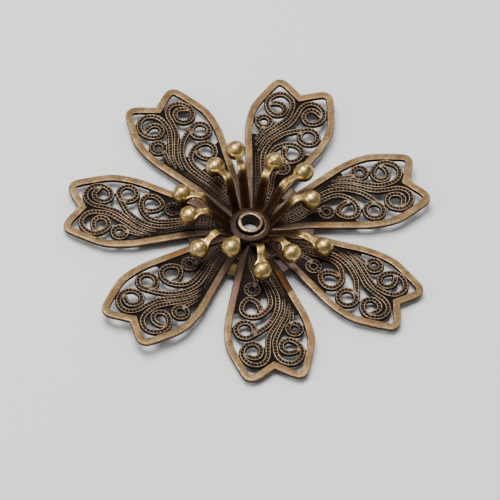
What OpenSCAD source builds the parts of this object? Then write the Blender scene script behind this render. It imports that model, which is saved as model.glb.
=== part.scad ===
// Filigree flower bead cap.
// A pierced and stamped petal plate and a crown of ball-tipped stamens, held
// together by a hollow eyelet. It lies on the eyelet's lower flange at z = 0,
// with the bore along +Z.

/* [Petals] */
// Number of petals round the flower
petal_count = 7; // [5:1:8]
// Direction of the first petal, in degrees from +X
petal_turn = 19.4; // [0:0.1:51]
// Distance from the centre to the notch in a petal's end
notch_reach = 24.2; // [22:0.1:28]
// Height of a petal's two lobes past its notch
lobe_rise = 1.8; // [1:0.1:3]
// Widest part of a petal
petal_w = 12.5; // [11:0.1:14]
// Width of the plain rim round a petal
rim_w = 1.17; // [0.9:0.01:1.5]
// Width of a filigree ribbon
ribbon_w = 0.9; // [0.75:0.01:1.05]

/* [Sheet] */
// Thickness of the sheet under the relief
ground_t = 0.3; // [0.2:0.01:0.5]
// Height of the ribbons above the ground
ribbon_rise = 0.13; // [0.08:0.01:0.25]
// Height of the rim above the ground
rim_rise = 0.2; // [0.1:0.01:0.35]
// Step along the rim's outer edge
rim_step = 0.08; // [0.04:0.01:0.15]
// How far the ground shows past a ribbon's side
ground_lip = 0.07; // [0.04:0.01:0.12]

/* [Middle] */
// Radius of the dished middle that joins the petals
dish_r = 9.03; // [8:0.01:10]
// Radius of the flat floor of the dish
dish_floor_r = 3.6; // [3.3:0.1:4.5]
// How far the floor lies below the petals
dish_depth = 0.85; // [0.4:0.05:1.2]
// Distance from the centre to the hole in each web between petals
web_hole_reach = 6.35; // [5.8:0.05:7]
// Length of a web hole, along the radius
web_hole_l = 1.3; // [0.8:0.05:1.6]
// Width of a web hole
web_hole_w = 0.7; // [0.5:0.05:0.9]

/* [Stamens] */
// Number of stamens round the hub
stamen_count = 12; // [8:1:12]
// Direction of the first stamen, in degrees from +X
stamen_turn = 10; // [0:0.5:30]
// Distance from the centre to a ball's centre
stamen_reach = 10; // [9.4:0.1:12]
// Height of a stamen's bend above its root
stamen_rise = 5.1; // [4.4:0.1:6]
// Drop from the bend to the ball's centre
ball_drop = 1.3; // [0.8:0.1:1.6]
// Diameter of a ball
ball_d = 2.7; // [2.2:0.1:3]
// Width of a stamen's strip
strip_w = 1.4; // [1:0.05:1.6]
// Thickness of a stamen's strip
strip_t = 0.38; // [0.25:0.01:0.5]
// Radius of the bends in a strip, at its middle
strip_bend_r = 1.1; // [0.8:0.1:1.4]
// Radius of the domed hub that the stamens leave
hub_r = 2.95; // [2.6:0.05:3.3]
// Height of the hub's dome above its underside
hub_h = 1; // [0.7:0.05:1.3]

/* [Eyelet] */
// Diameter of the bore
bore_d = 2.5; // [1.5:0.05:2.6]
// Wall of the eyelet's tube
tube_wall = 0.3; // [0.2:0.01:0.4]
// Width that the rolled head stands out past the tube
head_lip = 0.35; // [0.2:0.01:0.5]
// Height of the rolled head
head_h = 0.4; // [0.3:0.01:0.6]
// Width that the lower flange stands out past the tube
flange_lip = 0.6; // [0.4:0.05:1]
// Thickness of the lower flange
flange_t = 0.35; // [0.25:0.01:0.5]
// Play round the tube in the holes of the plate and the hub
tube_play = 0.1; // [0.05:0.01:0.2]
// Play between pieces that lie on each other
stack_play = 0.05; // [0.02:0.01:0.1]

/* [Hidden] */

// Lengths that overlap so that two solids fuse
fuse = 0.1;
// Half of the widest gap between ribbons that is filled solid
fill_half = 0.06;
// Flat width between the dish's slope and its edge
dish_lip = 0.4;
// Width of a web hole's inner end as a share of its widest part
web_hole_taper = 0.77;
// Length of strip inside the hub, and how far in from the hub's side it ends
root_l = 0.3;
root_inset = 0.25;
// How far a strip lies flat before it rises
foot_l = 0.35;
// Size of the eyelet's rounded edges
eyelet_round = 0.12;
// Facets of round pieces
round_fn = 64;
cap_fn = 12;
// Steps between two points of a curve
outline_steps = 3;
ribbon_steps = 2;
// Steps round a bend in a strip
bend_steps = 5;

tube_r = bore_d / 2 + tube_wall;
hole_r = tube_r + tube_play;
half_w = petal_w / 2;
dish_rim_step = 1.25 * rim_step;

// Heights, from the surface that the eyelet's flange lies on
floor_z = flange_t + stack_play;
petal_z = floor_z + dish_depth;
hub_z = floor_z + ground_t + rim_rise + stack_play;
head_z = hub_z + hub_h + stack_play;
root_z = hub_z + strip_t / 2;

// One side of a petal's outline, from its root to its notch.
// Columns: share of the half width, share of the notch's reach, share of
// the lobe's rise.
PETAL_SIDE = [
    [0.21, 0.10, 0], [0.54, 0.35, 0], [0.67, 0.45, 0], [0.80, 0.55, 0],
    [0.925, 0.65, 0], [0.99, 0.75, 0], [0.985, 0.84, 0], [0.87, 0.94, 0],
    [0.76, 1, 0.25], [0.67, 1, 0.8], [0.52, 1, 1], [0.36, 1, 0.82],
    [0.18, 1, 0.42]
];

// Centre-lines of the filigree ribbons in a petal that points along +Y.
// Columns: share of the half width, share of the notch's reach, share of
// the ribbon's width.
LEFT_SCROLL = [
    [-0.56, 0.565, 0.6], [-0.465, 0.65, 0.8], [-0.27, 0.735, 0.95],
    [-0.105, 0.815, 1], [-0.083, 0.865, 1], [-0.093, 0.91, 1],
    [-0.18, 0.95, 1], [-0.36, 0.972, 1], [-0.525, 0.96, 1],
    [-0.645, 0.922, 1], [-0.665, 0.877, 1], [-0.57, 0.833, 1],
    [-0.405, 0.812, 1], [-0.25, 0.832, 1], [-0.225, 0.87, 1],
    [-0.31, 0.895, 1], [-0.41, 0.90, 1], [-0.51, 0.895, 1],
    [-0.60, 0.882, 0.9]
];
RIGHT_SCROLL = [
    [-0.455, 0.53, 0.6], [-0.395, 0.615, 0.8], [-0.215, 0.6975, 0.9],
    [-0.005, 0.775, 1], [0.07, 0.85, 1], [0.105, 0.91, 1],
    [0.21, 0.952, 1], [0.375, 0.967, 1],
    [0.55, 0.95, 1], [0.655, 0.9075, 1], [0.65, 0.865, 1],
    [0.54, 0.828, 1], [0.36, 0.82, 1], [0.235, 0.852, 1],
    [0.26, 0.895, 1], [0.34, 0.915, 1], [0.43, 0.917, 1],
    [0.52, 0.905, 1], [0.60, 0.892, 0.9]
];
SIDE_CURL_STEM = [
    [-0.175, 0.375, 0.7], [-0.265, 0.455, 0.9], [-0.32, 0.53, 0.95],
    [-0.25, 0.615, 0.95], [-0.05, 0.695, 1], [0.155, 0.735, 1],
    [0.35, 0.763, 1]
];
LOW_CURL = [
    [-0.055, 0.37, 0.7], [-0.12, 0.46, 0.85], [-0.16, 0.5325, 0.95],
    [-0.115, 0.58, 1], [0, 0.6125, 1], [0.155, 0.637, 1], [0.335, 0.639, 1],
    [0.47, 0.62, 1], [0.515, 0.5825, 1], [0.45, 0.5425, 1],
    [0.31, 0.5175, 1], [0.165, 0.54, 1], [0.10, 0.58, 1],
    [0.11, 0.608, 1]
];
SMALL_RING_TAIL = [
    [-0.52, 0.708, 0.9], [-0.56, 0.665, 0.75], [-0.62, 0.60, 0.5]
];
ROOT_RING_TAIL = [
    [0.12, 0.43, 0.9], [0.09, 0.40, 0.8], [0.10, 0.37, 0.7]
];
RIBBONS = [
    LEFT_SCROLL, RIGHT_SCROLL, SIDE_CURL_STEM, LOW_CURL, SMALL_RING_TAIL,
    ROOT_RING_TAIL
];

// Rings at the ends of the stems.
// Columns: share of the half width, share of the notch's reach, radius as a
// share of the half width.
SIDE_RING = [0.51, 0.7245, 0.205];
SMALL_RING = [-0.58, 0.7435, 0.148];
ROOT_RING = [0.205, 0.455, 0.13];
RINGS = [SIDE_RING, SMALL_RING, ROOT_RING];

// Plain solder tabs where a curl's end meets its stem.
// Columns: share of the half width, share of the notch's reach, radius as a
// share of the ribbon's width.
TABS = [[0.31, 0.742, 0.5], [0.09, 0.607, 0.45]];

// Plain floors that close the ground between ribbons.
// Columns: share of the half width, share of the notch's reach.
STEM_FLOOR = [
    [-0.86, 0.60], [-0.70, 0.645], [-0.55, 0.64], [-0.30, 0.62],
    [-0.14, 0.60], [-0.14, 0.48], [0.03, 0.478], [0.24, 0.48],
    [0.36, 0.42], [0.46, 0.35], [-0.46, 0.35]
];
// Columns as the ribbons'
CRESCENT_FLOOR = [
    [0.20, 0.90, 0.7], [0.25, 0.93, 0.8], [0.39, 0.942, 0.8],
    [0.53, 0.93, 0.8], [0.60, 0.905, 0.7]
];
NOTCH_FLOOR = [[-0.22, 0.955], [0, 0.86], [0.22, 0.955], [0, 0.97]];
RIM_FLOOR = [
    [0.52, 0.595], [0.70, 0.605], [0.50, 0.37], [0.30, 0.37],
    [0.32, 0.505], [0.44, 0.535]
];

// Ends of the stamens, from the first one on, which hands have bent.
// Columns: turn from an even spacing in degrees, bend's reach and ball's
// reach as shares of stamen_reach, bend's height as a share of stamen_rise,
// drop as a share of ball_drop.
STAMENS = [
    [4, 0.65, 0.90, 1.02, 1.3], [-1, 0.60, 1.0, 1.02, 0.55],
    [-2, 0.58, 0.93, 1.06, 1.15], [0.5, 0.68, 1.10, 1, 0.9],
    [-9, 0.60, 0.95, 1.04, 1.4], [0.5, 0.75, 1.03, 0.8, 0.65],
    [-6, 0.64, 0.86, 0.94, 1], [3, 0.66, 0.96, 0.96, 1.1],
    [0, 0.60, 0.80, 1.02, 0.4], [0, 0.70, 1.02, 1, 1.4],
    [-2, 0.70, 0.95, 0.9, 0.5], [-7, 0.80, 1.16, 0.64, 0.5]
];

// Side of the hub's dome, from its underside up.
// Columns: millimetres in from the hub's radius, share of the hub's height.
HUB_PROFILE = [
    [0.25, 0], [0, 0.15], [0, 0.4], [0.15, 0.65], [0.45, 0.86], [0.8, 1]
];

// Point on a smooth curve between b and c, which a and d steer
function between(a, b, c, d, t) =
    0.5 * (2 * b + (c - a) * t + (2 * a - 5 * b + 4 * c - d) * t * t
        + (3 * b - a - 3 * c + d) * t * t * t);
// Smooth curve through the points, with equal steps between them
function curve(p, steps) = [
    for (i = [0 : len(p) - 2])
        for (j = [0 : steps - 1])
            between(p[max(i - 1, 0)], p[i], p[i + 1],
                p[min(i + 2, len(p) - 1)], j / steps),
    p[len(p) - 1]
];
function unit(v) = v / norm(v);
function side(v) = [-v[1], v[0]];
// Direction of a path at its point i
function heading(p, i) =
    unit(p[min(i + 1, len(p) - 1)] - p[max(i - 1, 0)]);

// A table's row as a point in millimetres
function place(row) = [row[0] * half_w, row[1] * notch_reach];
function ribbon_row(row) = concat(place(row), row[2] * ribbon_w);
function outline_point(row) = place(row) + [0, row[2] * lobe_rise];

function petal_side_points() =
    curve([for (row = PETAL_SIDE) outline_point(row)], outline_steps);
function mirrored(p) = [for (i = [len(p) - 1 : -1 : 0]) [-p[i][0], p[i][1]]];

// Outline of one whole petal, down to the middle of the flower
module petal_outline() {
    right = petal_side_points();
    polygon(concat(right, [[0, notch_reach]], mirrored(right)));
}

// A band along a path whose rows are x, y and width
module band(rows, extra) {
    path = curve(rows, ribbon_steps);
    mid = [for (r = path) [r[0], r[1]]];
    half = [for (r = path) r[2] / 2 + extra];
    for (i = [0 : len(mid) - 2]) {
        a = side(heading(mid, i)) * half[i];
        b = side(heading(mid, i + 1)) * half[i + 1];
        polygon([mid[i] + a, mid[i] - a, mid[i + 1] - b, mid[i + 1] + b]);
    }
    for (i = [0, len(mid) - 1])
        translate(mid[i])
            circle(half[i], $fn = cap_fn);
}

module ring(row, extra) {
    half = ribbon_w / 2 + extra;
    translate(place(row))
        difference() {
            circle(row[2] * half_w + half, $fn = 2 * cap_fn);
            circle(row[2] * half_w - half, $fn = cap_fn);
        }
}

module disc(row, extra) {
    translate(place(row))
        circle(row[2] * ribbon_w + extra, $fn = cap_fn);
}

// All ribbons of one petal, each side wider by extra
module ribbons(extra) {
    for (ribbon = RIBBONS)
        band([for (row = ribbon) ribbon_row(row)], extra);
    for (row = RINGS)
        ring(row, extra);
    for (row = TABS)
        disc(row, extra);
}

module floors() {
    for (floor = [STEM_FLOOR, NOTCH_FLOOR, RIM_FLOOR])
        polygon([for (row = floor) place(row)]);
    band([for (row = CRESCENT_FLOOR) ribbon_row(row)], 0);
    translate(place(ROOT_RING))
        circle(ROOT_RING[2] * half_w, $fn = cap_fn);
}

module each_petal() {
    for (i = [0 : petal_count - 1])
        rotate([0, 0, petal_turn + i * 360 / petal_count - 90])
            children();
}

// A petal's rim, set in by step outside and by half as much inside
module rim_band(step) {
    difference() {
        offset(delta = -step)
            petal_outline();
        offset(delta = step / 2 - rim_w)
            petal_outline();
    }
}

// The ground of one petal, with its gaps
module petal_ground() {
    intersection() {
        petal_outline();
        union() {
            rim_band(0);
            offset(delta = -fill_half)
                offset(delta = fill_half) {
                    ribbons(ground_lip);
                    floors();
                    rim_band(0);
                }
        }
    }
}

// One layer of a petal outside the dish, as one outline with its gaps
module flat_layer(z, t) {
    translate([0, 0, z])
        linear_extrude(t)
            offset(delta = 0)
                difference() {
                    children();
                    circle(dish_r - fuse, $fn = round_fn);
                }
}

// A petal that points along +Y: the ground, the rim and the ribbons
module petal() {
    flat_layer(petal_z, ground_t)
        petal_ground();
    flat_layer(petal_z + fuse, ground_t - fuse + rim_rise)
        rim_band(rim_step);
    flat_layer(petal_z + fuse, ground_t - fuse + ribbon_rise)
        intersection() {
            offset(delta = -rim_w + fuse)
                petal_outline();
            ribbons(0);
        }
}

// A disc that slopes from the dish's edge to its floor
module dished(z, t) {
    translate([0, 0, z])
        rotate_extrude($fn = round_fn)
            polygon([
                [hole_r, -dish_depth], [dish_floor_r, -dish_depth],
                [dish_r - dish_lip, 0], [dish_r, 0], [dish_r, t],
                [dish_r - dish_lip, t], [dish_floor_r, t - dish_depth],
                [hole_r, t - dish_depth]
            ]);
}

module web_hole() {
    long = web_hole_l / 2;
    wide = web_hole_w / 2;
    translate([web_hole_reach, 0, floor_z])
        linear_extrude(2 * dish_depth + ground_t)
            polygon([
                [-long, 0], [-long / 2, -wide * web_hole_taper],
                [long / 2, -wide], [long, 0], [long / 2, wide],
                [-long / 2, wide * web_hole_taper]
            ]);
}

// The raised rims run on across the dish to its floor
module dish_rims() {
    intersection() {
        translate([0, 0, floor_z])
            linear_extrude(2 * dish_depth + ground_t + rim_rise)
                offset(delta = 0)
                    intersection() {
                        union() {
                            each_petal()
                                rim_band(dish_rim_step);
                            circle(dish_floor_r - fuse, $fn = round_fn);
                        }
                        circle(dish_r - fuse / 2, $fn = round_fn);
                    }
        dished(petal_z + fuse, ground_t + rim_rise - fuse);
    }
}

// The dished middle with its web holes
module middle() {
    difference() {
        dished(petal_z, ground_t);
        for (i = [0 : petal_count - 1])
            rotate([0, 0, petal_turn + (i + 0.5) * 360 / petal_count])
                web_hole();
    }
    dish_rims();
}

module petal_plate() {
    color("#8c6f4a") {
        each_petal()
            petal();
        middle();
    }
}

// Points of an arc about c, from angle a to angle b
function arc(c, r, a, b, steps) = [
    for (i = [0 : steps]) let (t = a + (b - a) * i / steps)
        c + r * [cos(t), sin(t)]
];
function angle_of(v) = atan2(v[1], v[0]);
// Points of the arc that rounds the corner at b, on the way from a to c
function rounded_corner(a, b, c, r, steps) =
    let (
        u = unit(a - b),
        v = unit(c - b),
        half = acos(u * v) / 2,
        back = r / tan(half),
        mid = b + unit(u + v) * r / sin(half),
        p = b + u * back,
        q = b + v * back,
        from = angle_of(p - mid),
        turn = angle_of(q - mid) - from,
        short = turn > 180 ? turn - 360 : turn < -180 ? turn + 360 : turn
    )
    arc(mid, r, from, from + short, steps);

// One strip with its ball, whose root lies at the hub
module stamen(i) {
    row = STAMENS[i];
    even = stamen_turn + i * 360 / stamen_count;
    root_r = hub_r - root_inset;
    root = root_r * [cos(even), sin(even)];
    ball = row[2] * stamen_reach * [cos(even + row[0]), sin(even + row[0])];
    run = norm(ball - root);
    bend_x = row[1] * stamen_reach - root_r;
    bend_z = row[3] * stamen_rise;
    ball_z = bend_z - row[4] * ball_drop;
    start = [-root_l, 0];
    foot = [foot_l, 0];
    bend = [bend_x, bend_z];
    end = [run, ball_z];
    mid = concat(
        [start],
        rounded_corner(start, foot, bend, strip_bend_r / 2, bend_steps),
        rounded_corner(foot, bend, end, strip_bend_r, bend_steps),
        [end]
    );
    last = len(mid) - 1;
    upper = [for (k = [0 : last]) mid[k] + side(heading(mid, k)) * strip_t / 2];
    lower = [for (k = [last : -1 : 0]) mid[k] - side(heading(mid, k)) * strip_t / 2];
    translate([root[0], root[1], root_z])
        rotate([0, 0, angle_of(ball - root)]) {
            rotate([90, 0, 0])
                translate([0, 0, -strip_w / 2])
                    linear_extrude(strip_w)
                        polygon(concat(upper, lower));
            translate([run, 0, ball_z])
                sphere(d = ball_d, $fn = round_fn);
        }
}

module hub() {
    dome = [for (row = HUB_PROFILE) [hub_r - row[0], row[1] * hub_h]];
    translate([0, 0, hub_z])
        rotate_extrude($fn = round_fn)
            polygon(concat([[hole_r, 0]], dome, [[hole_r, hub_h]]));
}

module stamen_crown() {
    color("#9a854d") {
        hub();
        for (i = [0 : stamen_count - 1])
            stamen(i);
    }
}

module eyelet() {
    bore_r = bore_d / 2;
    edge = eyelet_round;
    top = head_z + head_h;
    head_r = tube_r + head_lip;
    flange_r = tube_r + flange_lip;
    color("#b08d4c")
        rotate_extrude($fn = round_fn)
            polygon([
                [bore_r + edge, 0], [flange_r - edge, 0],
                [flange_r, edge], [flange_r, flange_t],
                [tube_r, flange_t], [tube_r, head_z], [head_r, head_z],
                [head_r, top - 2 * edge], [head_r - edge, top - edge / 2],
                [head_r - 2 * edge, top], [bore_r + 2 * edge, top],
                [bore_r + edge / 2, top - edge / 2],
                [bore_r, top - edge], [bore_r, edge]
            ]);
}

petal_plate();
stamen_crown();
eyelet();
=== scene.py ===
import math

import bmesh
import bpy
import numpy as np
from mathutils import Matrix


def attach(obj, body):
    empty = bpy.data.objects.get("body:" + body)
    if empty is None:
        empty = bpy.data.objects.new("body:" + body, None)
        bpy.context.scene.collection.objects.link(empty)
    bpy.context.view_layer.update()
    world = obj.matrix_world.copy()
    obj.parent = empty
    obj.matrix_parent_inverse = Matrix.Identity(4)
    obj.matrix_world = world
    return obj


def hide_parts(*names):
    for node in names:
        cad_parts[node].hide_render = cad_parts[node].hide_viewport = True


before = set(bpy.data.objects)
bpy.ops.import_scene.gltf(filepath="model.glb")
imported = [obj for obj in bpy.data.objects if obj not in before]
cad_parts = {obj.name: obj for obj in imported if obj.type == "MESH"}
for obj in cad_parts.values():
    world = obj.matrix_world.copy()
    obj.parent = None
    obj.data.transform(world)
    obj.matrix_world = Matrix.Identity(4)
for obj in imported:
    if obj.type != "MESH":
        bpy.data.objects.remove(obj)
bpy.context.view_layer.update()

# All shapes are worked out in millimetres and degrees, in the row frame.
# Wear goes from 0, dark in a recess, to 1, rubbed bright on an edge. On the balls, the
# strips and the ribbons near the flower's middle it also carries painted light and
# shade.
MM = 0.001
rng = np.random.default_rng(7)

# Petals: REACH goes from the flower's middle to a petal's notch, and LOBE is
# how much further the two lobes beside the notch go. PITCH is that of the
# pits in a ribbon, and GROUND_LIP how far the ground shows beside a ribbon.
# The ground is cut from a grid of cells between GROUND_X and GROUND_Y.
PETALS = 7
PETAL_TURN = 19.4
REACH = 24.2
LOBE = 1.7
HALF_W = 6.25
RIM_W = 1.06
RIBBON_W = 0.80
PITCH = 0.5
GROUND_LIP = 0.07
GROUND_FILLET = 0.16
GROUND_CELL = 0.1
GROUND_X = (-6.5, 6.51)
GROUND_Y = (8.5, 26.3)
STROKE_STEP = 0.08

# Plate: its dish starts DISH_EDGE inside DISH_R. ROOT_LAP is how far the
# petals' ground laps over the dished middle, SHEET_ROUND how much lower its
# upper edges lie, and WEB_HOLE_R how far the web holes are from the middle.
PLATE_LOW = 1.25
PLATE_TOP = 1.5
DISH_R = 9.03
DISH_EDGE = 0.4
DISH_FLOOR_R = 3.6
DISH_DEPTH = 0.85
DISH_CELL = 0.15
DISH_XY = (-9.15, 9.16)
ROOT_LAP = 0.25
SHEET_ROUND = 0.04
HOLE_R = 1.65
WEB_HOLE_R = 6.35

# Hub and stamens: the strips are rooted STRIP_INSET inside the hub's side and
# STRIP_LIFT over its foot. They turn up with the radius FOOT_BEND, rise by
# STAMEN_RISE, turn out with the radius TOP_BEND and end NECK before the
# middle of their balls, which is BALL_DROP lower than the upper bend.
HUB_R = 2.95
HUB_Z = 0.95
STAMEN_TURN = 10
STAMEN_REACH = 10
STAMEN_RISE = 5.1
BALL_DROP = 1.3
BALL_R = 1.38
STRIP_T = 0.36
STRIP_INSET = 0.25
STRIP_LIFT = 0.19
FOOT_BEND = 0.55
TOP_BEND = 1.2
NECK = 0.8

# One side of a petal, from its root to beside the notch.
# Columns: share of the half width, share of the notch's reach, share of
# the lobe's rise.
PETAL_SIDE = [
    [0.21, 0.10, 0], [0.54, 0.35, 0], [0.67, 0.45, 0], [0.80, 0.55, 0],
    [0.925, 0.65, 0], [0.99, 0.75, 0], [0.985, 0.84, 0], [0.87, 0.94, 0],
    [0.76, 1, 0.25], [0.67, 1, 0.8], [0.52, 1, 1], [0.36, 1, 0.82],
    [0.18, 1, 0.42],
]

# The middle lines of the filigree's ribbons.
# Columns: share of the half width, share of the reach, share of the width.
LEFT_SCROLL = [
    [-0.57, 0.555, 0.4], [-0.465, 0.65, 0.85], [-0.27, 0.735, 0.95],
    [-0.105, 0.815, 1], [-0.083, 0.865, 1], [-0.093, 0.91, 1],
    [-0.18, 0.95, 1], [-0.36, 0.972, 1], [-0.525, 0.96, 1],
    [-0.645, 0.922, 1], [-0.665, 0.877, 1], [-0.57, 0.833, 1],
    [-0.405, 0.812, 1], [-0.25, 0.832, 1], [-0.225, 0.87, 1],
    [-0.31, 0.895, 1], [-0.41, 0.90, 1], [-0.51, 0.895, 1],
    [-0.60, 0.882, 0.9],
]
RIGHT_SCROLL = [
    [-0.46, 0.52, 0.4], [-0.395, 0.615, 0.85], [-0.215, 0.6975, 0.9],
    [-0.005, 0.775, 1], [0.07, 0.85, 1], [0.105, 0.91, 1],
    [0.21, 0.952, 1], [0.375, 0.967, 1],
    [0.55, 0.95, 1], [0.655, 0.9075, 1], [0.65, 0.865, 1],
    [0.54, 0.828, 1], [0.36, 0.82, 1], [0.235, 0.852, 1],
    [0.26, 0.895, 1], [0.34, 0.915, 1], [0.43, 0.917, 1],
    [0.52, 0.905, 1], [0.60, 0.892, 0.9],
]
SIDE_CURL_STEM = [
    [-0.035, 0.165, 0.12], [-0.045, 0.20, 0.55], [-0.06, 0.245, 0.66],
    [-0.09, 0.31, 0.8], [-0.175, 0.385, 0.85], [-0.265, 0.455, 0.95],
    [-0.32, 0.53, 1], [-0.25, 0.615, 1], [-0.05, 0.695, 1],
    [0.155, 0.735, 1], [0.35, 0.763, 1],
]
LOW_CURL = [
    [0.05, 0.165, 0.12], [0.045, 0.20, 0.55], [0.043, 0.245, 0.66],
    [0.027, 0.31, 0.8], [-0.045, 0.38, 0.85], [-0.12, 0.46, 0.9],
    [-0.16, 0.5325, 0.95], [-0.115, 0.58, 1], [0, 0.6125, 1],
    [0.155, 0.637, 1], [0.335, 0.639, 1], [0.47, 0.62, 1],
    [0.515, 0.5825, 1], [0.45, 0.5425, 1], [0.31, 0.5175, 1],
    [0.165, 0.54, 1], [0.10, 0.58, 1], [0.11, 0.608, 1],
]
SMALL_RING_TAIL = [[-0.52, 0.708, 0.9], [-0.56, 0.665, 0.8], [-0.62, 0.595, 0.4]]
ROOT_RING_TAIL = [
    [0.12, 0.43, 0.9], [0.09, 0.40, 0.85], [0.10, 0.36, 0.8], [0.145, 0.30, 0.75],
    [0.142, 0.245, 0.64], [0.125, 0.20, 0.5], [0.11, 0.175, 0.12],
]
SIDE_STEM = [
    [-0.12, 0.185, 0.12], [-0.135, 0.21, 0.5], [-0.16, 0.25, 0.64],
    [-0.205, 0.31, 0.8], [-0.30, 0.385, 0.85], [-0.40, 0.46, 0.8],
    [-0.49, 0.525, 0.4],
]
RIBBONS = [
    LEFT_SCROLL, RIGHT_SCROLL, SIDE_CURL_STEM, LOW_CURL, SMALL_RING_TAIL,
    ROOT_RING_TAIL, SIDE_STEM,
]

# Ribbons that close to a ring.
# Columns: share of the half width, share of the reach, radius as a share of
# the half width, pits round it.
SIDE_RING = [0.51, 0.7245, 0.205, 16]
SMALL_RING = [-0.58, 0.7435, 0.148, 12]
ROOT_RING = [0.205, 0.455, 0.13, 10]
RINGS = [SIDE_RING, SMALL_RING, ROOT_RING]

# Flat pads where ribbons end or meet.
# Columns: share of the half width, share of the reach, radius as a share of
# the ribbon's width.
PADS = [
    [0.31, 0.742, 0.5], [0.09, 0.607, 0.45], [-0.60, 0.882, 0.45],
    [0.60, 0.892, 0.45], [-0.53, 0.70, 0.42], [0.12, 0.425, 0.4],
]
# Columns: share of the pad's radius, height over the ground, wear.
PAD = np.array([
    [0, 0.17, 0.8], [0.6, 0.16, 0.8], [0.9, 0.12, 0.7], [1, 0.05, 0.3],
    [1, -0.05, 0.1], [0, -0.05, 0.1],
])

# Corners of the closed ground round the stems, in the notch and beside the
# right rim.
# Columns: share of the half width, share of the reach.
STEM_FLOOR = [
    [-0.86, 0.60], [-0.70, 0.645], [-0.55, 0.64], [-0.30, 0.62],
    [-0.14, 0.60], [-0.14, 0.48], [0.03, 0.478], [0.24, 0.48],
    [0.36, 0.42], [0.46, 0.35], [-0.46, 0.35],
]
NOTCH_FLOOR = [[-0.22, 0.955], [0, 0.86], [0.22, 0.955], [0, 0.97]]
RIM_FLOOR = [
    [0.52, 0.595], [0.70, 0.605], [0.50, 0.37], [0.30, 0.37], [0.32, 0.505],
    [0.44, 0.535],
]
# The closed crescent inside the right scroll, with a ribbon's columns.
CRESCENT_FLOOR = [
    [0.20, 0.90, 0.7], [0.25, 0.93, 0.8], [0.39, 0.942, 0.8],
    [0.53, 0.93, 0.8], [0.60, 0.905, 0.7],
]

# A ribbon's cross-section on a rung and in a pit.
# Columns: share of the half width, height, wear, height in a pit, wear there.
RIBBON = np.array([
    [-1.00, -0.06, 0.0, -0.06, 0.0], [-1.00, 0.05, 0.02, 0.05, 0.02],
    [-0.95, 0.12, 0.1, 0.12, 0.1], [-0.86, 0.18, 0.6, 0.18, 0.6],
    [-0.70, 0.205, 1.0, 0.205, 0.95], [-0.50, 0.175, 0.5, 0.16, 0.35],
    [-0.36, 0.165, 0.45, 0.03, 0], [0, 0.17, 0.56, 0.0, 0],
    [0.36, 0.165, 0.45, 0.03, 0], [0.50, 0.175, 0.5, 0.16, 0.35],
    [0.70, 0.205, 1.0, 0.205, 0.95], [0.86, 0.18, 0.6, 0.18, 0.6],
    [0.95, 0.12, 0.1, 0.12, 0.1], [1.00, 0.05, 0.02, 0.05, 0.02],
    [1.00, -0.06, 0.0, -0.06, 0.0],
])
# Where a ribbon narrows to a tip: its height and wear there, the shares of
# its width between which it turns flat and sinks, and how deep it sinks.
TIP_Z = 0.165
TIP_WEAR = 0.5
TIP_FLAT = (0.45, 0.58)
TIP_SINK = (0.40, 0.54)
TIP_DEPTH = 0.17
# Columns: place along a pit's cell, share of the rung's cross-section.
CELL = [
    [0, 1], [0.20, 0.95], [0.27, 0.6], [0.33, 0.03], [0.67, 0.03], [0.73, 0.6],
    [0.80, 0.95],
]

# The rim's cross-section.
# Columns: distance in from the outline, height, wear.
RIM = np.array([
    [0, PLATE_LOW, 0.1], [-0.01, 1.45, 0.3], [0, 1.60, 0.5], [0.03, 1.69, 1.2],
    [0.08, 1.74, 1.1], [0.16, 1.752, 0.85], [0.53, 1.755, 0.75],
    [0.90, 1.752, 0.78], [0.98, 1.74, 1.0], [1.04, 1.69, 0.6],
    [RIM_W, 1.60, 0.15], [RIM_W, PLATE_LOW, 0.0],
])

# A web hole's corners, along and across the line to the flower's middle.
WEB_HOLE = [
    [-0.65, 0], [-0.33, -0.27], [0.33, -0.35], [0.65, 0], [0.33, 0.35],
    [-0.33, 0.27],
]

# How hands have bent each petal, from the first one on.
# Columns: turn, how far its tip is bent up.
PETAL_BENDS = [
    [0, 0.35], [0, 0.4], [0, -0.1], [0, -0.15], [0.3, 0.6], [0, -0.4], [0, -0.4],
]

# How the stamens differ, from the first one on.
# Columns: turn, bend's reach, ball's reach, bend's height, ball's drop. All
# but the turn are shares of the lengths above.
STAMENS = [
    [5, 0.63, 0.87, 1.02, 1.3], [0.5, 0.59, 0.98, 1.02, 0.55],
    [-1.5, 0.57, 0.915, 1.06, 1.15], [1, 0.66, 1.06, 1, 0.9],
    [-7.5, 0.58, 0.92, 1.04, 1.4], [2.5, 0.74, 1.02, 0.8, 0.65],
    [-4.5, 0.66, 0.88, 0.94, 1], [1, 0.68, 1, 0.96, 1.1],
    [-4, 0.59, 0.78, 1.02, 0.4], [-3, 0.69, 1, 1, 1.4],
    [-4, 0.67, 0.90, 0.9, 0.5], [-7.5, 0.78, 1.12, 0.64, 0.5],
]
# Stamens whose ball has a deep dent, the two depths as shares of BALL_R, and
# the slope of the line from a ball's middle to its dent.
DENTED = (2, 4, 8)
DEEP_DENT = 0.14
DENT = 0.03
DENT_RISE = 0.55
BALL_STEPS = 56
BALL_ROWS = 36

# A strip's cross-section.
# Columns: share of the width, share of the thickness.
STRIP = np.array([
    [-0.5, -0.22], [-0.5, 0.22], [-0.465, 0.42], [-0.40, 0.5], [-0.2, 0.47],
    [0.0, 0.46], [0.2, 0.47], [0.40, 0.5], [0.465, 0.42], [0.5, 0.22],
    [0.5, -0.22], [0.465, -0.42], [0.40, -0.5], [0.0, -0.52], [-0.40, -0.5],
    [-0.465, -0.42],
])
# Columns: distance from the ball's middle, width of the strip there.
STRIP_WIDTHS = np.array([
    [NECK, 2.3], [1.1, 2.0], [1.45, 1.35], [1.9, 0.96], [3.2, 1.14], [5.5, 1.3],
])
# Columns: distance from the ball's middle, share of STRIP_T there.
STRIP_SHARES = np.array([[NECK, 2.2], [1.3, 1.5], [2.2, 1]])

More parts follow.
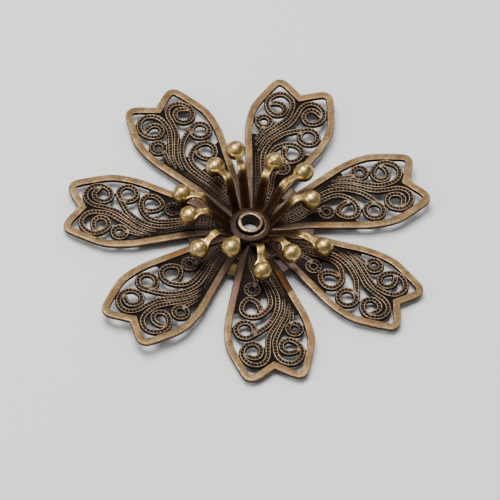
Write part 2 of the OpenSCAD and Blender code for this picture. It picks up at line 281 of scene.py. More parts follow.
# Columns: radius, height over the hub's foot, wear.
HUB = np.array([
    [HOLE_R, 0, 0.1], [2.66, 0, 0.1], [2.85, 0.06, 0.3], [2.95, 0.18, 0.35],
    [2.98, 0.36, 0.35], [2.97, 0.54, 0.40], [2.93, 0.68, 0.62], [2.84, 0.78, 0.66],
    [2.70, 0.85, 0.42], [2.50, 0.90, 0.34], [2.34, 0.95, 0.34], [2.20, 0.99, 0.42],
    [2.09, 0.99, 0.45], [2.01, 0.95, 0.32], [1.95, 0.90, 0.2], [1.8, 0.88, 0.15],
    [HOLE_R, 0.88, 0.05],
])
# Where the hub's lip is, the direction in which its lip is lighter, and the direction
# in which the hub is darker.
LIP_R = 2.17
LIP_Z = 0.9
LIP_BRIGHT_AT = -48
DULL_AT = 220
# Columns: radius, height, wear.
EYELET = np.array([
    [1.32, 0.0, 0.2], [2.0, 0.0, 0.2], [2.10, 0.03, 0.4], [2.15, 0.12, 0.5],
    [2.15, 0.30, 0.3], [2.10, 0.35, 0.2], [1.56, 0.35, 0.1], [1.55, 1.98, 0.05],
    [1.84, 2.0, 0.1], [1.89, 2.05, 0.12], [1.88, 2.15, 0.2], [1.82, 2.26, 0.45],
    [1.73, 2.335, 0.75], [1.62, 2.375, 0.85], [1.50, 2.395, 0.8],
    [1.42, 2.395, 0.85], [1.34, 2.365, 0.95], [1.28, 2.30, 0.9],
    [1.252, 2.2, 0.35], [1.25, 1.9, 0.02], [1.25, 0.12, 0.02], [1.27, 0.04, 0.1],
])
TURNED_STEPS = 96
TURNED_WOBBLE = 0.004


# Curves
def ramp(x, a, b):
    """Smooth step of x from 0 at a to 1 at b."""
    t = np.clip((x - a) / (b - a), 0, 1)
    return t * t * (3 - 2 * t)


def curve(rows, steps):
    """Smooth curve through the rows, with that many steps between two."""
    p = np.array(rows, float)
    q = np.vstack([p[:1], p, p[-1:]])
    t = (np.arange(steps) / steps)[:, None]
    parts = [
        0.5 * (2 * b + (c - a) * t + (2 * a - 5 * b + 4 * c - d) * t * t
               + (3 * b - a - 3 * c + d) * t ** 3)
        for a, b, c, d in zip(q[:-3], q[1:-2], q[2:-1], q[3:])
    ]
    return np.vstack(parts + [p[-1:]])


def length(path):
    """A path's length in plan."""
    return np.linalg.norm(np.diff(path[:, :2], axis=0), axis=1).sum()


def spaced(path, at):
    """The path's points at shares of its length."""
    step = np.linalg.norm(np.diff(path[:, :2], axis=0), axis=1)
    s = np.concatenate([[0], np.cumsum(step)])
    return np.stack([np.interp(np.asarray(at) * s[-1], s, c) for c in path.T], 1)


def left_of(path, closed=False):
    """Unit normals on the left of a flat path."""
    if closed:
        d = np.roll(path, -1, 0) - np.roll(path, 1, 0)
    else:
        d = np.gradient(path, axis=0)
    d = d[:, :2] / np.linalg.norm(d[:, :2], axis=1, keepdims=True)
    return np.stack([-d[:, 1], d[:, 0]], 1)


def bent(a, b, c, r, steps):
    """Points of the arc of radius r that rounds the corner at b."""
    u, v = (a - b) / np.linalg.norm(a - b), (c - b) / np.linalg.norm(c - b)
    half = math.acos(float(u @ v)) / 2
    mid = b + (u + v) / np.linalg.norm(u + v) * r / math.sin(half)
    p = b + u * r / math.tan(half) - mid
    q = b + v * r / math.tan(half) - mid
    start = math.atan2(p[1], p[0])
    turn = (math.atan2(q[1], q[0]) - start + math.pi) % (2 * math.pi) - math.pi
    t = start + turn * np.linspace(0, 1, steps)
    return mid + r * np.stack([np.cos(t), np.sin(t)], 1)


def placed(rows):
    """Rows of a petal's table in millimetres, for a petal along +Y."""
    r = np.array(rows, float)
    r[:, 0] *= HALF_W
    r[:, 1] *= REACH
    return r


def ribbon_curve(rows, steps):
    """A ribbon's middle line and width in millimetres."""
    r = placed(rows)
    r[:, 2] *= RIBBON_W
    return curve(r, steps)


def ring_curve(row):
    """A ring's middle line and width in millimetres."""
    a = np.linspace(0, 2 * math.pi, 97)
    cx, cy, r = row[0] * HALF_W, row[1] * REACH, row[2] * HALF_W
    return np.stack([cx + r * np.cos(a), cy + r * np.sin(a), 0 * a + RIBBON_W], 1)


def petal_outline():
    """From the petal's root up its right side, and down its left side."""
    side = curve(PETAL_SIDE, 12)
    side = np.stack([side[:, 0] * HALF_W, side[:, 1] * REACH + side[:, 2] * LOBE], 1)
    return np.vstack([side, [[0, REACH]], side[::-1] * [-1, 1]])


OUTLINE = petal_outline()


def petal_angle(k):
    """Direction of petal k, and of the web after it at k + 0.5."""
    return PETAL_TURN + k * 360 / PETALS


def dish_drop(r):
    """Height of the dish, from zero down, at a distance r from its middle."""
    start = DISH_R - DISH_EDGE
    t = np.clip((start - r) / (start - DISH_FLOOR_R), 0, 1)
    return -DISH_DEPTH * (0.75 * t + 0.25 * ramp(t, 0, 1))


# Distances to flat shapes, below zero inside
def to_stroke(x, y, path):
    """Distance to a stroke whose rows give its middle line and half width."""
    d = np.full(x.shape, 1e9)
    for cx, cy, w in path:
        np.minimum(d, np.hypot(x - cx, y - cy) - w, out=d)
    return d


def to_polygon(x, y, corners):
    """Distance to a polygon's nearest side."""
    p = np.asarray(corners, float)[:, :2]
    d = np.full(x.shape, 1e9)
    inside = np.zeros(x.shape, bool)
    for (ax, ay), (bx, by) in zip(p, np.roll(p, -1, 0)):
        ex, ey = bx - ax, by - ay
        span = ex * ex + ey * ey
        if span < 1e-12:
            continue
        t = np.clip(((x - ax) * ex + (y - ay) * ey) / span, 0, 1)
        np.minimum(d, np.hypot(x - ax - t * ex, y - ay - t * ey), out=d)
        if ay != by:
            inside ^= ((ay > y) != (by > y)) & (x < ax + (y - ay) * ex / ey)
    return np.where(inside, -d, d)


def to_ring(x, y, row):
    """Distance to the disc inside a ring's middle line."""
    return np.hypot(x - row[0] * HALF_W, y - row[1] * REACH) - row[2] * HALF_W


def blended(a, b):
    """Union of two distances with a small fillet between them."""
    t = np.clip(0.5 + 0.5 * (b - a) / GROUND_FILLET, 0, 1)
    return b + (a - b) * t - GROUND_FILLET * t * (1 - t)


def stroke_rows(rows, lip):
    """A ribbon's rows as a stroke of close points, wider by the lip."""
    path = ribbon_curve(rows, 8)
    path = spaced(path, np.linspace(0, 1, int(length(path) / STROKE_STEP)))
    path[:, 2] = path[:, 2] / 2 + lip
    return path


def ground_field(x, y):
    """Distance to a petal's ground with its gaps, for a petal along +Y.

    It is a frame under the rim, a bed under each ribbon and the closed parts.
    """
    inside = to_polygon(x, y, OUTLINE)
    d = np.maximum(inside, -inside - RIM_W)
    for rows in RIBBONS:
        d = blended(d, to_stroke(x, y, stroke_rows(rows, GROUND_LIP)))
    for row in RINGS:
        d = blended(d, np.abs(to_ring(x, y, row)) - RIBBON_W / 2 - GROUND_LIP)
    for rows in (STEM_FLOOR, NOTCH_FLOOR, RIM_FLOOR):
        d = np.minimum(d, to_polygon(x, y, placed(rows)))
    d = np.minimum(d, to_stroke(x, y, stroke_rows(CRESCENT_FLOOR, 0)))
    d = np.minimum(d, to_ring(x, y, ROOT_RING))
    d = np.maximum(d, inside + 0.02)
    return np.maximum(d, DISH_R - ROOT_LAP - np.hypot(x, y))


class Shape:
    """Points in millimetres with a wear value each, and faces.

    rim_faces is the range of faces that take the second material.
    """

    def __init__(self):
        self.points, self.wear, self.faces, self.count = [], [], [], 0
        self.rim_faces = (0, 0)

    def add(self, points, wear):
        points = np.asarray(points, float).reshape(-1, 3)
        first = self.count
        self.points.append(points)
        self.wear.append(np.broadcast_to(wear, len(points)).astype(float).ravel())
        self.count += len(points)
        return np.arange(first, self.count)

    def tube(self, sections, wear, closed=False):
        """Skin over cross-sections, each a ring of points."""
        m, n = sections.shape[:2]
        i = self.add(sections, np.asarray(wear, float).ravel()).reshape(m, n)
        rows = np.vstack([i, i[:1]]) if closed else i
        a, b = rows[:-1], rows[1:]
        quads = np.stack(
            [a, np.roll(a, -1, 1), np.roll(b, -1, 1), b], -1).reshape(-1, 4)
        self.faces += quads.tolist()
        if not closed:
            self.faces += [i[0][::-1].tolist(), i[-1].tolist()]

    def lathe(self, profile, wear, steps, centre=(0, 0), wobble=0):
        """A closed profile of (radius, height) turned about a vertical axis."""
        a = np.linspace(0, 2 * math.pi, steps, endpoint=False)
        wave = 1 + wobble * (np.sin(3 * a + 1) + 0.6 * np.sin(5 * a + 2))
        r = profile[None, :, 0] * wave[:, None]
        points = np.stack([
            centre[0] + r * np.cos(a)[:, None], centre[1] + r * np.sin(a)[:, None],
            np.broadcast_to(profile[:, 1], r.shape),
        ], -1)
        self.tube(points, np.broadcast_to(wear, r.shape), closed=True)

    def sheet(self, gx, gy, field, top, low, wear=None):
        """A sheet over the grid's cells in which the field is below zero.

        Points on its edge move to where the field is zero, and its upper
        edge lies a little lower, so that it looks rounded.
        """
        cell = gx[1] - gx[0]
        mid = (field[:-1, :-1] + field[1:, :-1] + field[:-1, 1:] + field[1:, 1:]) / 4
        ci, cj = np.nonzero(mid < 0)
        n = field.shape[1]
        quads = np.stack(
            [ci * n + cj, (ci + 1) * n + cj, (ci + 1) * n + cj + 1, ci * n + cj + 1], 1)
        sides = np.concatenate([quads[:, [k, (k + 1) % 4]] for k in range(4)])
        key = np.sort(sides, axis=1)
        _, first, times = np.unique(
            key[:, 0] * field.size + key[:, 1], return_index=True, return_counts=True)
        rim = sides[first[times == 1]]
        edge = np.zeros(field.size, bool)
        edge[rim.ravel()] = True
        x, y = np.meshgrid(gx, gy, indexing="ij")
        dx, dy = np.gradient(field, cell)
        slope = np.maximum(np.hypot(dx, dy), 0.3)
        move = np.where(edge, np.clip(field.ravel(), -0.8 * cell, 0.8 * cell), 0)
        x = x.ravel() - move * (dx / slope).ravel()
        y = y.ravel() - move * (dy / slope).ravel()
        upper = top(x, y) - np.where(edge, SHEET_ROUND, 0)
        if wear is None:
            wear = 0.02 + 0.16 * ramp(field, -0.16, 0)
        keep = np.unique(quads)
        index = np.full(field.size, -1)
        index[keep] = np.arange(len(keep))
        up = self.add(np.stack([x, y, upper], 1)[keep], wear.ravel()[keep])
        down = self.add(np.stack([x, y, low(x, y)], 1)[keep], 0.1)
        self.faces += up[index[quads]].tolist()
        self.faces += down[index[quads]][:, ::-1].tolist()
        self.faces += np.stack([
            up[index[rim[:, 1]]], up[index[rim[:, 0]]],
            down[index[rim[:, 0]]], down[index[rim[:, 1]]],
        ], 1).tolist()

    def make(self, name, move=None, angle=50):
        """The scene's object, with sharp edges from that angle on."""
        points = np.concatenate(self.points)
        if move is not None:
            points = move(points)
        mesh = bpy.data.meshes.new(name)
        mesh.from_pydata((points * MM).tolist(), [], self.faces)
        worn = mesh.attributes.new("wear", "FLOAT", "POINT")
        worn.data.foreach_set("value", np.concatenate(self.wear).astype(np.float32))
        b = bmesh.new()
        b.from_mesh(mesh)
        bmesh.ops.recalc_face_normals(b, faces=b.faces)
        b.to_mesh(mesh)
        b.free()
        mesh.polygons.foreach_set("use_smooth", [True] * len(mesh.polygons))
        first, last = self.rim_faces
        kinds = np.zeros(len(mesh.polygons), np.int32)
        kinds[first:last] = 1
        mesh.polygons.foreach_set("material_index", kinds)
        mesh.set_sharp_from_angle(angle=math.radians(angle))
        piece = bpy.data.objects.new(name, mesh)
        bpy.context.scene.collection.objects.link(piece)
        return piece


# Petals
def ribbon(shape, path, cells, closed=False, worn=1.0):
    """A ribbon with raised rails, rungs and square pits along a path.

    Where it narrows to a tip, it turns flat and sinks into the ground.
    """
    at = np.array([(c + v) / cells for c in range(cells) for v, _ in CELL])
    rung = np.array([share for _ in range(cells) for _, share in CELL])
    if not closed:
        at, rung = np.append(at, 1), np.append(rung, 1)
    p = spaced(path, at)
    side = left_of(p, closed)
    xy = p[:, None, :2] + side[:, None] * (RIBBON[:, 0] * p[:, 2:3] / 2)[:, :, None]
    wide = p[:, 2:3] / RIBBON_W
    tip = 1 - ramp(wide, *TIP_FLAT)
    sunk = TIP_DEPTH * (1 - ramp(wide, *TIP_SINK))
    k = np.maximum(rung[:, None], tip)
    rung_z = RIBBON[:, 1] - tip * np.maximum(RIBBON[:, 1] - TIP_Z, 0)
    rung_wear = RIBBON[:, 2] - tip * np.maximum(RIBBON[:, 2] - TIP_WEAR, 0)
    z = (rung_z * k + RIBBON[:, 3] * (1 - k)) * np.clip(wide, 0.7, 1)
    z = z + PLATE_TOP - sunk
    wear = (rung_wear * k + RIBBON[:, 4] * (1 - k)) * worn
    # Painted shade: a little darker towards the flower's middle, under the stamens
    wear = wear * (0.92 + 0.08 * ramp(p[:, 1:2], 7, 15))
    shape.tube(np.concatenate([xy, z[:, :, None]], 2), wear, closed)


def pad(shape, row):
    """A flat round pad on the ground."""
    r = row[2] * RIBBON_W
    profile = np.stack([np.maximum(PAD[:, 0] * r, 0.01), PAD[:, 1] + PLATE_TOP], 1)
    shape.lathe(profile, PAD[:, 2], 20, (row[0] * HALF_W, row[1] * REACH))


def rim(shape):
    """The raised band along a petal's outline, with mitred corners."""
    step = np.diff(OUTLINE, axis=0)
    step /= np.linalg.norm(step, axis=1, keepdims=True)
    n = np.stack([-step[:, 1], step[:, 0]], 1)
    before, after = np.vstack([n[:1], n]), np.vstack([n, n[-1:]])
    mitre = (before + after) / (1 + (before * after).sum(1, keepdims=True))
    xy = OUTLINE[:, None] + mitre[:, None] * RIM[None, :, 0:1]
    z = np.broadcast_to(RIM[:, 1], xy.shape[:2])
    wear = np.broadcast_to(RIM[:, 2], xy.shape[:2])
    shape.tube(np.concatenate([xy, z[:, :, None]], 2), wear)


def petal_shape():
    """One petal along +Y, before it is dished and bent."""
    shape = Shape()
    gx = np.arange(*GROUND_X, GROUND_CELL)
    gy = np.arange(*GROUND_Y, GROUND_CELL)
    x, y = np.meshgrid(gx, gy, indexing="ij")
    shape.sheet(gx, gy, ground_field(x, y),
                lambda x, y: 0 * x + PLATE_TOP, lambda x, y: 0 * x + PLATE_LOW + 0.02)
    first = len(shape.faces)
    rim(shape)
    shape.rim_faces = (first, len(shape.faces))
    for rows in RIBBONS:
        path = ribbon_curve(rows, 10)
        ribbon(shape, path, round(length(path) / PITCH),
               worn=0.6 if rows is SIDE_STEM else 1.0)
    for row in RINGS:
        ribbon(shape, ring_curve(row), row[3], closed=True)
    for row in PADS:
        pad(shape, row)
    return shape


def put_petal(k):
    """Turns a petal's points to its place, with the dish and its own bend."""
    turn, lift = PETAL_BENDS[k]
    a = math.radians(petal_angle(k) - 90 + turn)
    c, s = math.cos(a), math.sin(a)

    def move(p):
        # The bend grows from the dish's edge to the petal's tip.
        out = p.copy()
        r = np.hypot(p[:, 0], p[:, 1])
        out[:, 2] += dish_drop(r)
        out[:, 2] += lift * np.clip((r - DISH_R) / (REACH - DISH_R), 0, 1.2) ** 1.3
        out[:, 0], out[:, 1] = c * p[:, 0] - s * p[:, 1], s * p[:, 0] + c * p[:, 1]
        return out
    return move


def middle_shape():
    """The dished middle that joins the petals, with a hole in each web.

    It is darkest where the petals lie over it, and lighter in the webs.
    """
    shape = Shape()
    g = np.arange(*DISH_XY, DISH_CELL)
    x, y = np.meshgrid(g, g, indexing="ij")
    r = np.hypot(x, y)
    d = np.maximum(r - DISH_R, HOLE_R - r)
    on_petal = np.full(x.shape, 9.0)
    for k in range(PETALS):
        a = math.radians(petal_angle(k + 0.5))
        along = x * math.cos(a) + y * math.sin(a) - WEB_HOLE_R
        across = -x * math.sin(a) + y * math.cos(a)
        d = np.maximum(d, -to_polygon(along, across, WEB_HOLE))
        a = math.radians(petal_angle(k) - 90)
        across = x * math.cos(a) + y * math.sin(a)
        along = -x * math.sin(a) + y * math.cos(a)
        on_petal = np.minimum(on_petal, to_polygon(across, along, OUTLINE))
    wear = 0.03 + 0.52 * ramp(on_petal, -0.2, 0.2)
    shape.sheet(
        g, g, d,
        lambda x, y: PLATE_TOP + 0.015 + dish_drop(np.hypot(x, y)),
        lambda x, y: PLATE_LOW + 0.01 + dish_drop(np.hypot(x, y)), wear)
    return shape


# Stamens, hub and eyelet
def ball(shape, centre, dent_at, dent):
    """A cast ball, not quite round, with a dent in that direction, painted darker
    underneath and lighter on top.
    """
    a = np.linspace(0, 2 * math.pi, BALL_STEPS, endpoint=False)[None, :]
    b = np.linspace(0.02, math.pi - 0.02, BALL_ROWS)[:, None]
    d = np.stack([
        np.sin(b) * np.cos(a), np.sin(b) * np.sin(a), np.cos(b) + 0 * a], -1)
    phase = rng.uniform(0, 6.28, 6)
    size = BALL_R * (
        1 + 0.010 * np.sin(2 * a + phase[0]) * np.sin(b) ** 2
        + 0.008 * np.sin(2 * b + phase[1]) * np.sin(b)
        + 0.006 * np.sin(5 * a + phase[2] + 3 * b) * np.sin(b) ** 4)
    near = np.linalg.norm(d - dent_at / np.linalg.norm(dent_at), axis=-1)
    size = size - dent * np.exp(-(near / 0.16) ** 2) * BALL_R
    # Painted shade and light: darker on the ball's lower side and lighter on its upper
    # side, following the way its surface faces
    wear = 0.41 + 0.62 * ramp(d[:, :, 2], -0.6, 0.40)
    wear = wear - 0.9 * np.exp(-(near / 0.17) ** 2) * min(1, dent * 8)
    shape.tube(centre + d * size[..., None], wear)


def stamen(shape, k):
    """A strip that rises from the hub, bends outwards and ends in a ball."""
    turn, bend_r, ball_r, bend_z, drop = STAMENS[k]
    even = STAMEN_TURN + k * 360 / len(STAMENS)
    a, b = math.radians(even), math.radians(even + turn)
    root_r = HUB_R - STRIP_INSET
    root = root_r * np.array([math.cos(a), math.sin(a)])
    end = ball_r * STAMEN_REACH * np.array([math.cos(b), math.sin(b)])
    run = np.linalg.norm(end - root)
    out = (end - root) / run
    side = np.array([-out[1], out[0]])

    # The strip's path: distance out from its root, height over it
    start, foot = np.array([-0.3, 0.0]), np.array([0.35, 0.0])
    bend = np.array([bend_r * STAMEN_REACH - root_r, bend_z * STAMEN_RISE])
    tip = np.array([run, bend[1] - drop * BALL_DROP])
    path = np.vstack([
        start, bent(start, foot, bend, FOOT_BEND, 8),
        bent(foot, bend, tip, TOP_BEND, 14), tip])
    total = length(path)
    s = np.linspace(0, 1 - NECK / total, 48)
    p = spaced(path, s)
    n = left_of(p)

    # Its section at each of these points, with a faint wave to the side
    left = (1 - s) * total
    wide = np.interp(left, *STRIP_WIDTHS.T)
    thick = STRIP_T * np.interp(left, *STRIP_SHARES.T)
    across = STRIP[:, 0] * wide[:, None] + 0.05 * np.sin(s * 9 + k)[:, None]
    up = STRIP[:, 1] * thick[:, None]
    along = p[:, None, 0] + n[:, None, 0] * up
    height = p[:, None, 1] + n[:, None, 1] * up
    points = np.stack([
        root[0] + out[0] * along + side[0] * across,
        root[1] + out[1] * along + side[1] * across,
        HUB_Z + STRIP_LIFT + height], -1)

    # Lighter on its edges, and much lighter towards the ball: partly worn gold, partly
    # painted shade low on its steep rise and painted light where it turns out
    outer = ramp(s, 0.46, 0.70)[:, None]
    edge = ramp(np.abs(STRIP[:, 0]), 0.25, 0.5)
    shape.tube(points, 0.18 + 0.6 * outer + (0.46 - 0.2 * outer) * edge)

    centre = np.array([*end, HUB_Z + STRIP_LIFT + tip[1]])
    dent_at = np.array([-out[0], -out[1], DENT_RISE])
    ball(shape, centre, dent_at, DEEP_DENT if k in DENTED else DENT)


def hub_shape():
    """The hub, lighter on one side of its lip and darker on the other side."""
    shape = Shape()
    a = np.linspace(0, 2 * math.pi, TURNED_STEPS, endpoint=False)[:, None]
    # The lip is lighter on one side and the hub darker on the other
    rubbed = ramp(np.cos(a - math.radians(LIP_BRIGHT_AT)), 0.45, 0.95)
    dull = ramp(np.cos(a - math.radians(DULL_AT)), -0.4, 0.7)
    lip = np.exp(-((HUB[:, 0] - LIP_R) / 0.1) ** 2) * (HUB[:, 1] > LIP_Z)
    wear = HUB[:, 2] * (1.08 - 0.62 * dull) + 0.5 * rubbed * lip
    shape.lathe(HUB[:, :2] + [0, HUB_Z], wear, TURNED_STEPS, wobble=TURNED_WOBBLE)
    return shape


def eyelet_shape():
    """The hollow rivet with its lower flange and rolled head."""
    shape = Shape()
    shape.lathe(EYELET[:, :2], EYELET[:, 2], TURNED_STEPS, wobble=TURNED_WOBBLE)
    return shape


# Materials, with lengths in metres
SPECK_SCALE = 3200
SCRATCH_SCALE = (900.0, 5200.0, 2600.0)


def node(tree, kind, inputs=None, **values):
    """A new node with linked or typed inputs, and values of its own."""
    n = tree.nodes.new(kind)
    for name, value in values.items():
        setattr(n, name, value)
    for key, value in (inputs or {}).items():
        if isinstance(value, bpy.types.NodeSocket):
            tree.links.new(value, n.inputs[key])
        else:
            n.inputs[key].default_value = value
    return n


def maths(tree, kind, a, b=0.0, clamp=False):
    return node(tree, "ShaderNodeMath", {0: a, 1: b}, operation=kind,
                use_clamp=clamp).outputs[0]


def noise(tree, at, scale, detail):
    return node(tree, "ShaderNodeTexNoise", {
        "Vector": at, "Scale": scale, "Detail": detail, "Roughness": 0.6,
    }).outputs["Fac"]


def mapped(tree, value, from_min, from_max, to_min, to_max):
    return node(tree, "ShaderNodeMapRange", {
        "Value": value, "From Min": from_min, "From Max": from_max,
        "To Min": to_min, "To Max": to_max,
    }).outputs[0]


def colours(tree, value, stops):
    """A colour ramp. Each stop is a place and its colour."""
    r = node(tree, "ShaderNodeValToRGB", {"Fac": value})
    r.color_ramp.elements[0].position = stops[0][0]
    r.color_ramp.elements[0].color = (*stops[0][1], 1)
    r.color_ramp.elements[1].position = stops[-1][0]
    r.color_ramp.elements[1].color = (*stops[-1][1], 1)
    for place, colour in stops[1:-1]:
        r.color_ramp.elements.new(place).color = (*colour, 1)
    return r.outputs["Color"]


def mixed(tree, share, a, b):
    """Colour a with that share of colour b."""
    m = node(tree, "ShaderNodeMix", data_type="RGBA")
    tree.links.new(share, m.inputs[0])
    for socket, value in ((m.inputs[6], a), (m.inputs[7], b)):
        if isinstance(value, bpy.types.NodeSocket):
            tree.links.new(value, socket)
        else:
            socket.default_value = (*value, 1)
    return m.outputs[2]


def patina(name, stops, rust, mottling, recess_metal, rough, middle=None, marks=()):
    """Antique metal: dark in its recesses and rubbed bright on its edges.

    stops: colours from no wear to full wear
    rust: colour of the wide patches
    mottling: scale of its patches, their strength, the specks' strength
    recess_metal: how metallic it is without wear
    rough: roughness with full wear and without
    middle: painted shade near the flower's middle, under the stamens, tinted
        purplish like tarnish: its colour, the radii where that starts to
        fade and ends, its share
    marks: single marks, each with its place, reach, share and colour: some
        are stains, some painted shade and some painted light
    """
    material = bpy.data.materials.new(name)
    material.use_nodes = True
    tree = material.node_tree
    tree.nodes.clear()
    at = node(tree, "ShaderNodeTexCoord").outputs["Object"]
    worn = node(tree, "ShaderNodeAttribute", attribute_name="wear").outputs["Fac"]
    scale, patch_strength, speck_strength = mottling

    # Wear with its mottling
    patches = noise(tree, at, scale, 5)
    fine = noise(tree, at, SPECK_SCALE, 3)
    patch = maths(tree, "MULTIPLY", maths(tree, "SUBTRACT", patches, 0.5),
                  patch_strength)
    speck = maths(tree, "MULTIPLY", maths(tree, "SUBTRACT", fine, 0.5),
                  speck_strength)
    mottle = maths(tree, "MULTIPLY", maths(tree, "ADD", patch, speck),
                   maths(tree, "ADD", worn, 0.15, clamp=True))
    level = maths(tree, "ADD", worn, mottle)
    level = maths(tree, "MULTIPLY", level, 0.8, clamp=True)
    colour = colours(tree, level, stops)

    # Painted shade in the flower's middle, under the stamens, with a purplish tarnish
    # tint
    if middle:
        tint, fade_from, fade_to, share = middle
        xyz = node(tree, "ShaderNodeSeparateXYZ", {"Vector": at}).outputs
        squares = maths(tree, "ADD", maths(tree, "POWER", xyz["X"], 2.0),
                        maths(tree, "POWER", xyz["Y"], 2.0))
        radius = maths(tree, "SQRT", squares)
        middle_shade_colour = mixed(tree, level, tuple(0.12 * c for c in tint), tint)
        middle_shade_share = mapped(tree, radius, fade_from, fade_to, share, 0.0)
        colour = mixed(tree, middle_shade_share, colour, middle_shade_colour)

    # Wide patches of rust, and the single marks: stains, painted shade and painted
    # light
    wide = mapped(tree, noise(tree, at, scale / 3.5, 3), 0.56, 0.72, 0.0, 0.7)
    colour = mixed(tree, maths(tree, "MULTIPLY", wide, level), colour, rust)
    for place, reach, share, tint in marks:
        away = node(tree, "ShaderNodeVectorMath", {0: at, 1: place},
                    operation="DISTANCE").outputs["Value"]
        ragged = maths(tree, "ADD", away, maths(tree, "MULTIPLY", patch, 0.003))
        near = mapped(tree, ragged, 0.3 * reach, reach, share, 0.0)
        colour = mixed(tree, maths(tree, "MULTIPLY", near, level), colour, tint)

    # Gloss, and fine scratches and grain
    gloss = mapped(tree, maths(tree, "ADD", level, speck), 0.0, 1.0,
                   rough[1], rough[0])
    metal = mapped(tree, level, 0.0, 0.45, recess_metal, 1.0)
    stretched = node(tree, "ShaderNodeMapping", {
        "Vector": at, "Scale": SCRATCH_SCALE}).outputs[0]
    scratches = maths(tree, "MULTIPLY", noise(tree, stretched, 1.0, 2), 0.5)
    height = maths(tree, "ADD", scratches, maths(tree, "ADD", fine, patches))
    bump = node(tree, "ShaderNodeBump", {
        "Strength": 0.4, "Distance": 0.00006, "Height": height}).outputs[0]
    shader = node(tree, "ShaderNodeBsdfPrincipled", {
        "Base Color": colour, "Metallic": metal, "Roughness": gloss,
        "Normal": bump})
    node(tree, "ShaderNodeOutputMaterial", {"Surface": shader.outputs[0]})
    return material


filigree_metal = patina(
    "antique_bronze",
    stops=[
        (0.0, (0.006, 0.004, 0.003)), (0.15, (0.016, 0.010, 0.007)),
        (0.33, (0.046, 0.030, 0.020)), (0.48, (0.094, 0.067, 0.045)),
        (0.65, (0.20, 0.146, 0.095)), (1.0, (0.51, 0.39, 0.25)),
    ],
    rust=(0.22, 0.09, 0.03), mottling=(420, 0.8, 0.7), recess_metal=0.85,
    # middle: painted shade under the stamens, partly a purplish tarnish
    rough=(0.40, 0.7), middle=((0.20, 0.14, 0.115), 0.006, 0.0125, 0.6),
    marks=[
        ((-0.0023, -0.0071, 0.001), 0.0016, 2.0, (0.26, 0.18, 0.06)),
        # Painted light: a lighter pinkish patch on the web between the sixth and
        # seventh petals, lifting the stamens' shade, with a pink tint
        ((0.0052, -0.0062, 0.001), 0.0030, 1.8, (0.20, 0.145, 0.13)),
        # Painted shade: the root rings of the fourth, sixth and fifth petals, darkened
        # where the balls shade them
        ((-0.0108, 0.0025, 0.0015), 0.0019, 1.7, (0.034, 0.018, 0.013)),
        ((0, -0.0111, 0.0015), 0.0018, 1.2, (0.060, 0.045, 0.036)),
        ((-0.0086, -0.0069, 0.0015), 0.0016, 1.0, (0.060, 0.045, 0.036)),
    ])
rim_metal = patina(
    "rubbed_bronze",
    stops=[
        (0.0, (0.006, 0.004, 0.003)), (0.2, (0.028, 0.016, 0.010)),
        (0.45, (0.085, 0.051, 0.028)), (0.62, (0.166, 0.106, 0.050)),
        (0.85, (0.354, 0.237, 0.118)), (1.0, (0.50, 0.357, 0.19)),
    ],
    rust=(0.22, 0.10, 0.04), mottling=(520, 0.78, 0.7), recess_metal=0.9,
    # middle: painted shade under the stamens, partly a purplish tarnish
    rough=(0.43, 0.65), middle=((0.105, 0.070, 0.060), 0.0072, 0.0128, 0.85),
    marks=[
        ((-0.0105, -0.0053, 0.0016), 0.0026, 1.2, (0.17, 0.075, 0.030)),
        # Painted light: a lighter pinkish patch on the rims beside the web between the
        # sixth and seventh petals, lifting the stamens' shade, with a pink tint
        ((0.0064, -0.0072, 0.0013), 0.0032, 1.1, (0.25, 0.165, 0.118)),
        ((0.0034, -0.0070, 0.0012), 0.0022, 2.6, (0.034, 0.016, 0.010)),
        ((0.0045, -0.0097, 0.0014), 0.0024, 3.4, (0.052, 0.023, 0.009)),
        ((-0.0023, -0.0115, 0.0015), 0.0055, 1.3, (0.125, 0.075, 0.055)),
    ])
stamen_metal = patina(
    "antique_brass",
    stops=[
        (0.0, (0.010, 0.006, 0.004)), (0.2, (0.042, 0.022, 0.013)),
        (0.42, (0.11, 0.060, 0.025)), (0.6, (0.24, 0.155, 0.055)),
        (0.78, (0.46, 0.315, 0.115)), (1.0, (0.73, 0.545, 0.245)),
    ],
    rust=(0.20, 0.08, 0.025), mottling=(1100, 1.6, 1.1), recess_metal=0.9,
    rough=(0.30, 0.60))
hub_metal = patina(
    "dark_brass",
    stops=[
        (0.0, (0.008, 0.005, 0.004)), (0.25, (0.050, 0.029, 0.023)),
        (0.42, (0.064, 0.039, 0.030)), (0.65, (0.30, 0.21, 0.11)),
        (1.0, (0.66, 0.52, 0.30)),
    ],
    rust=(0.20, 0.10, 0.045), mottling=(1300, 1.1, 1.1), recess_metal=0.8,
    rough=(0.34, 0.55),
    marks=[((0.0027, 0.0002, 0.0018), 0.0019, 1.6, (0.10, 0.046, 0.030))])

# The pieces
petal = petal_shape()
for k in range(PETALS):
    piece = petal.make(f"petal_{k + 1}", put_petal(k))
    piece.data.materials.append(filigree_metal)
    piece.data.materials.append(rim_metal)
    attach(piece, "root")
    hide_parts("petal_plate")
piece = middle_shape().make("petal_middle")
piece.data.materials.append(filigree_metal)
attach(piece, "root")
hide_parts("petal_plate")

crown = Shape()
for k in range(len(STAMENS)):
    stamen(crown, k)
piece = crown.make("stamens", angle=60)
piece.data.materials.append(stamen_metal)
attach(piece, "root")
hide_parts("stamen_crown")
piece = hub_shape().make("hub", angle=60)
piece.data.materials.append(hub_metal)
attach(piece, "root")
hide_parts("stamen_crown")
piece = eyelet_shape().make("eyelet_ring", angle=60)
piece.data.materials.append(hub_metal)
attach(piece, "root")
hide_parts("eyelet")

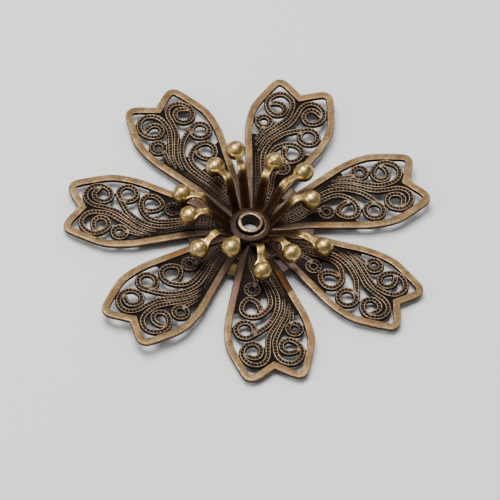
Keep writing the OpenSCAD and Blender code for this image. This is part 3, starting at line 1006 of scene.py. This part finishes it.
# Floor, light and camera, in metres
FLOOR_HALF = 1.5
floor_mesh = bpy.data.meshes.new("floor")
floor_mesh.from_pydata([
    (-FLOOR_HALF, -FLOOR_HALF, 0), (FLOOR_HALF, -FLOOR_HALF, 0),
    (FLOOR_HALF, FLOOR_HALF, 0), (-FLOOR_HALF, FLOOR_HALF, 0),
], [], [(0, 1, 2, 3)])
floor = bpy.data.objects.new("floor", floor_mesh)
bpy.context.scene.collection.objects.link(floor)
paper = bpy.data.materials.new("pale_floor")
paper.use_nodes = True
shader = paper.node_tree.nodes["Principled BSDF"]
shader.inputs["Base Color"].default_value = (0.80, 0.79, 0.78, 1)
shader.inputs["Roughness"].default_value = 0.6
floor.data.materials.append(paper)


def soft_light(name, place, size, power):
    """A round area light that points at the flower."""
    data = bpy.data.lights.new(name, "AREA")
    data.shape = "DISK"
    data.size = size
    data.energy = power
    lamp = bpy.data.objects.new(name, data)
    bpy.context.scene.collection.objects.link(lamp)
    v = np.array((0, 0, 0.002)) - np.array(place)
    lamp.location = place
    lamp.rotation_euler = (
        math.atan2(math.hypot(v[0], v[1]), -v[2]), 0,
        math.atan2(v[1], v[0]) - math.pi / 2)


soft_light("top_light", (-0.10, 0.10, 0.55), size=0.40, power=5.0)
soft_light("left_light", (-0.55, -0.15, 0.35), size=0.25, power=1.4)
soft_light("right_light", (0.36, 0.62, 0.5), size=0.25, power=1.6)

world = bpy.data.worlds.new("studio")
bpy.context.scene.world = world
world.use_nodes = True
background = world.node_tree.nodes["Background"]
background.inputs["Color"].default_value = (1, 1, 1, 1)
background.inputs["Strength"].default_value = 0.25

# The camera looks at AIM. The lens follows from the image's width in pixels.
ELEVATION = math.radians(53.9)
TURN = math.radians(-7.1)
ROLL = math.radians(6.8)
DISTANCE = 0.581
AIM = np.array([-0.00016, -0.004445, 0.00175])
IMAGE_PX = 500
FOCAL_PX = 4170
SENSOR_MM = 36
back = np.array([
    math.sin(TURN) * math.cos(ELEVATION), -math.cos(TURN) * math.cos(ELEVATION),
    math.sin(ELEVATION),
])
camera = bpy.data.objects.new("camera", bpy.data.cameras.new("camera"))
bpy.context.scene.collection.objects.link(camera)
camera.location = AIM + back * DISTANCE
camera.rotation_euler = (
    Matrix.Rotation(TURN, 3, "Z") @ Matrix.Rotation(math.pi / 2 - ELEVATION, 3, "X")
    @ Matrix.Rotation(ROLL, 3, "Z")).to_euler()
camera.data.sensor_width = SENSOR_MM
camera.data.lens = FOCAL_PX / IMAGE_PX * SENSOR_MM
camera.data.clip_start, camera.data.clip_end = 0.01, 10
bpy.context.scene.camera = camera
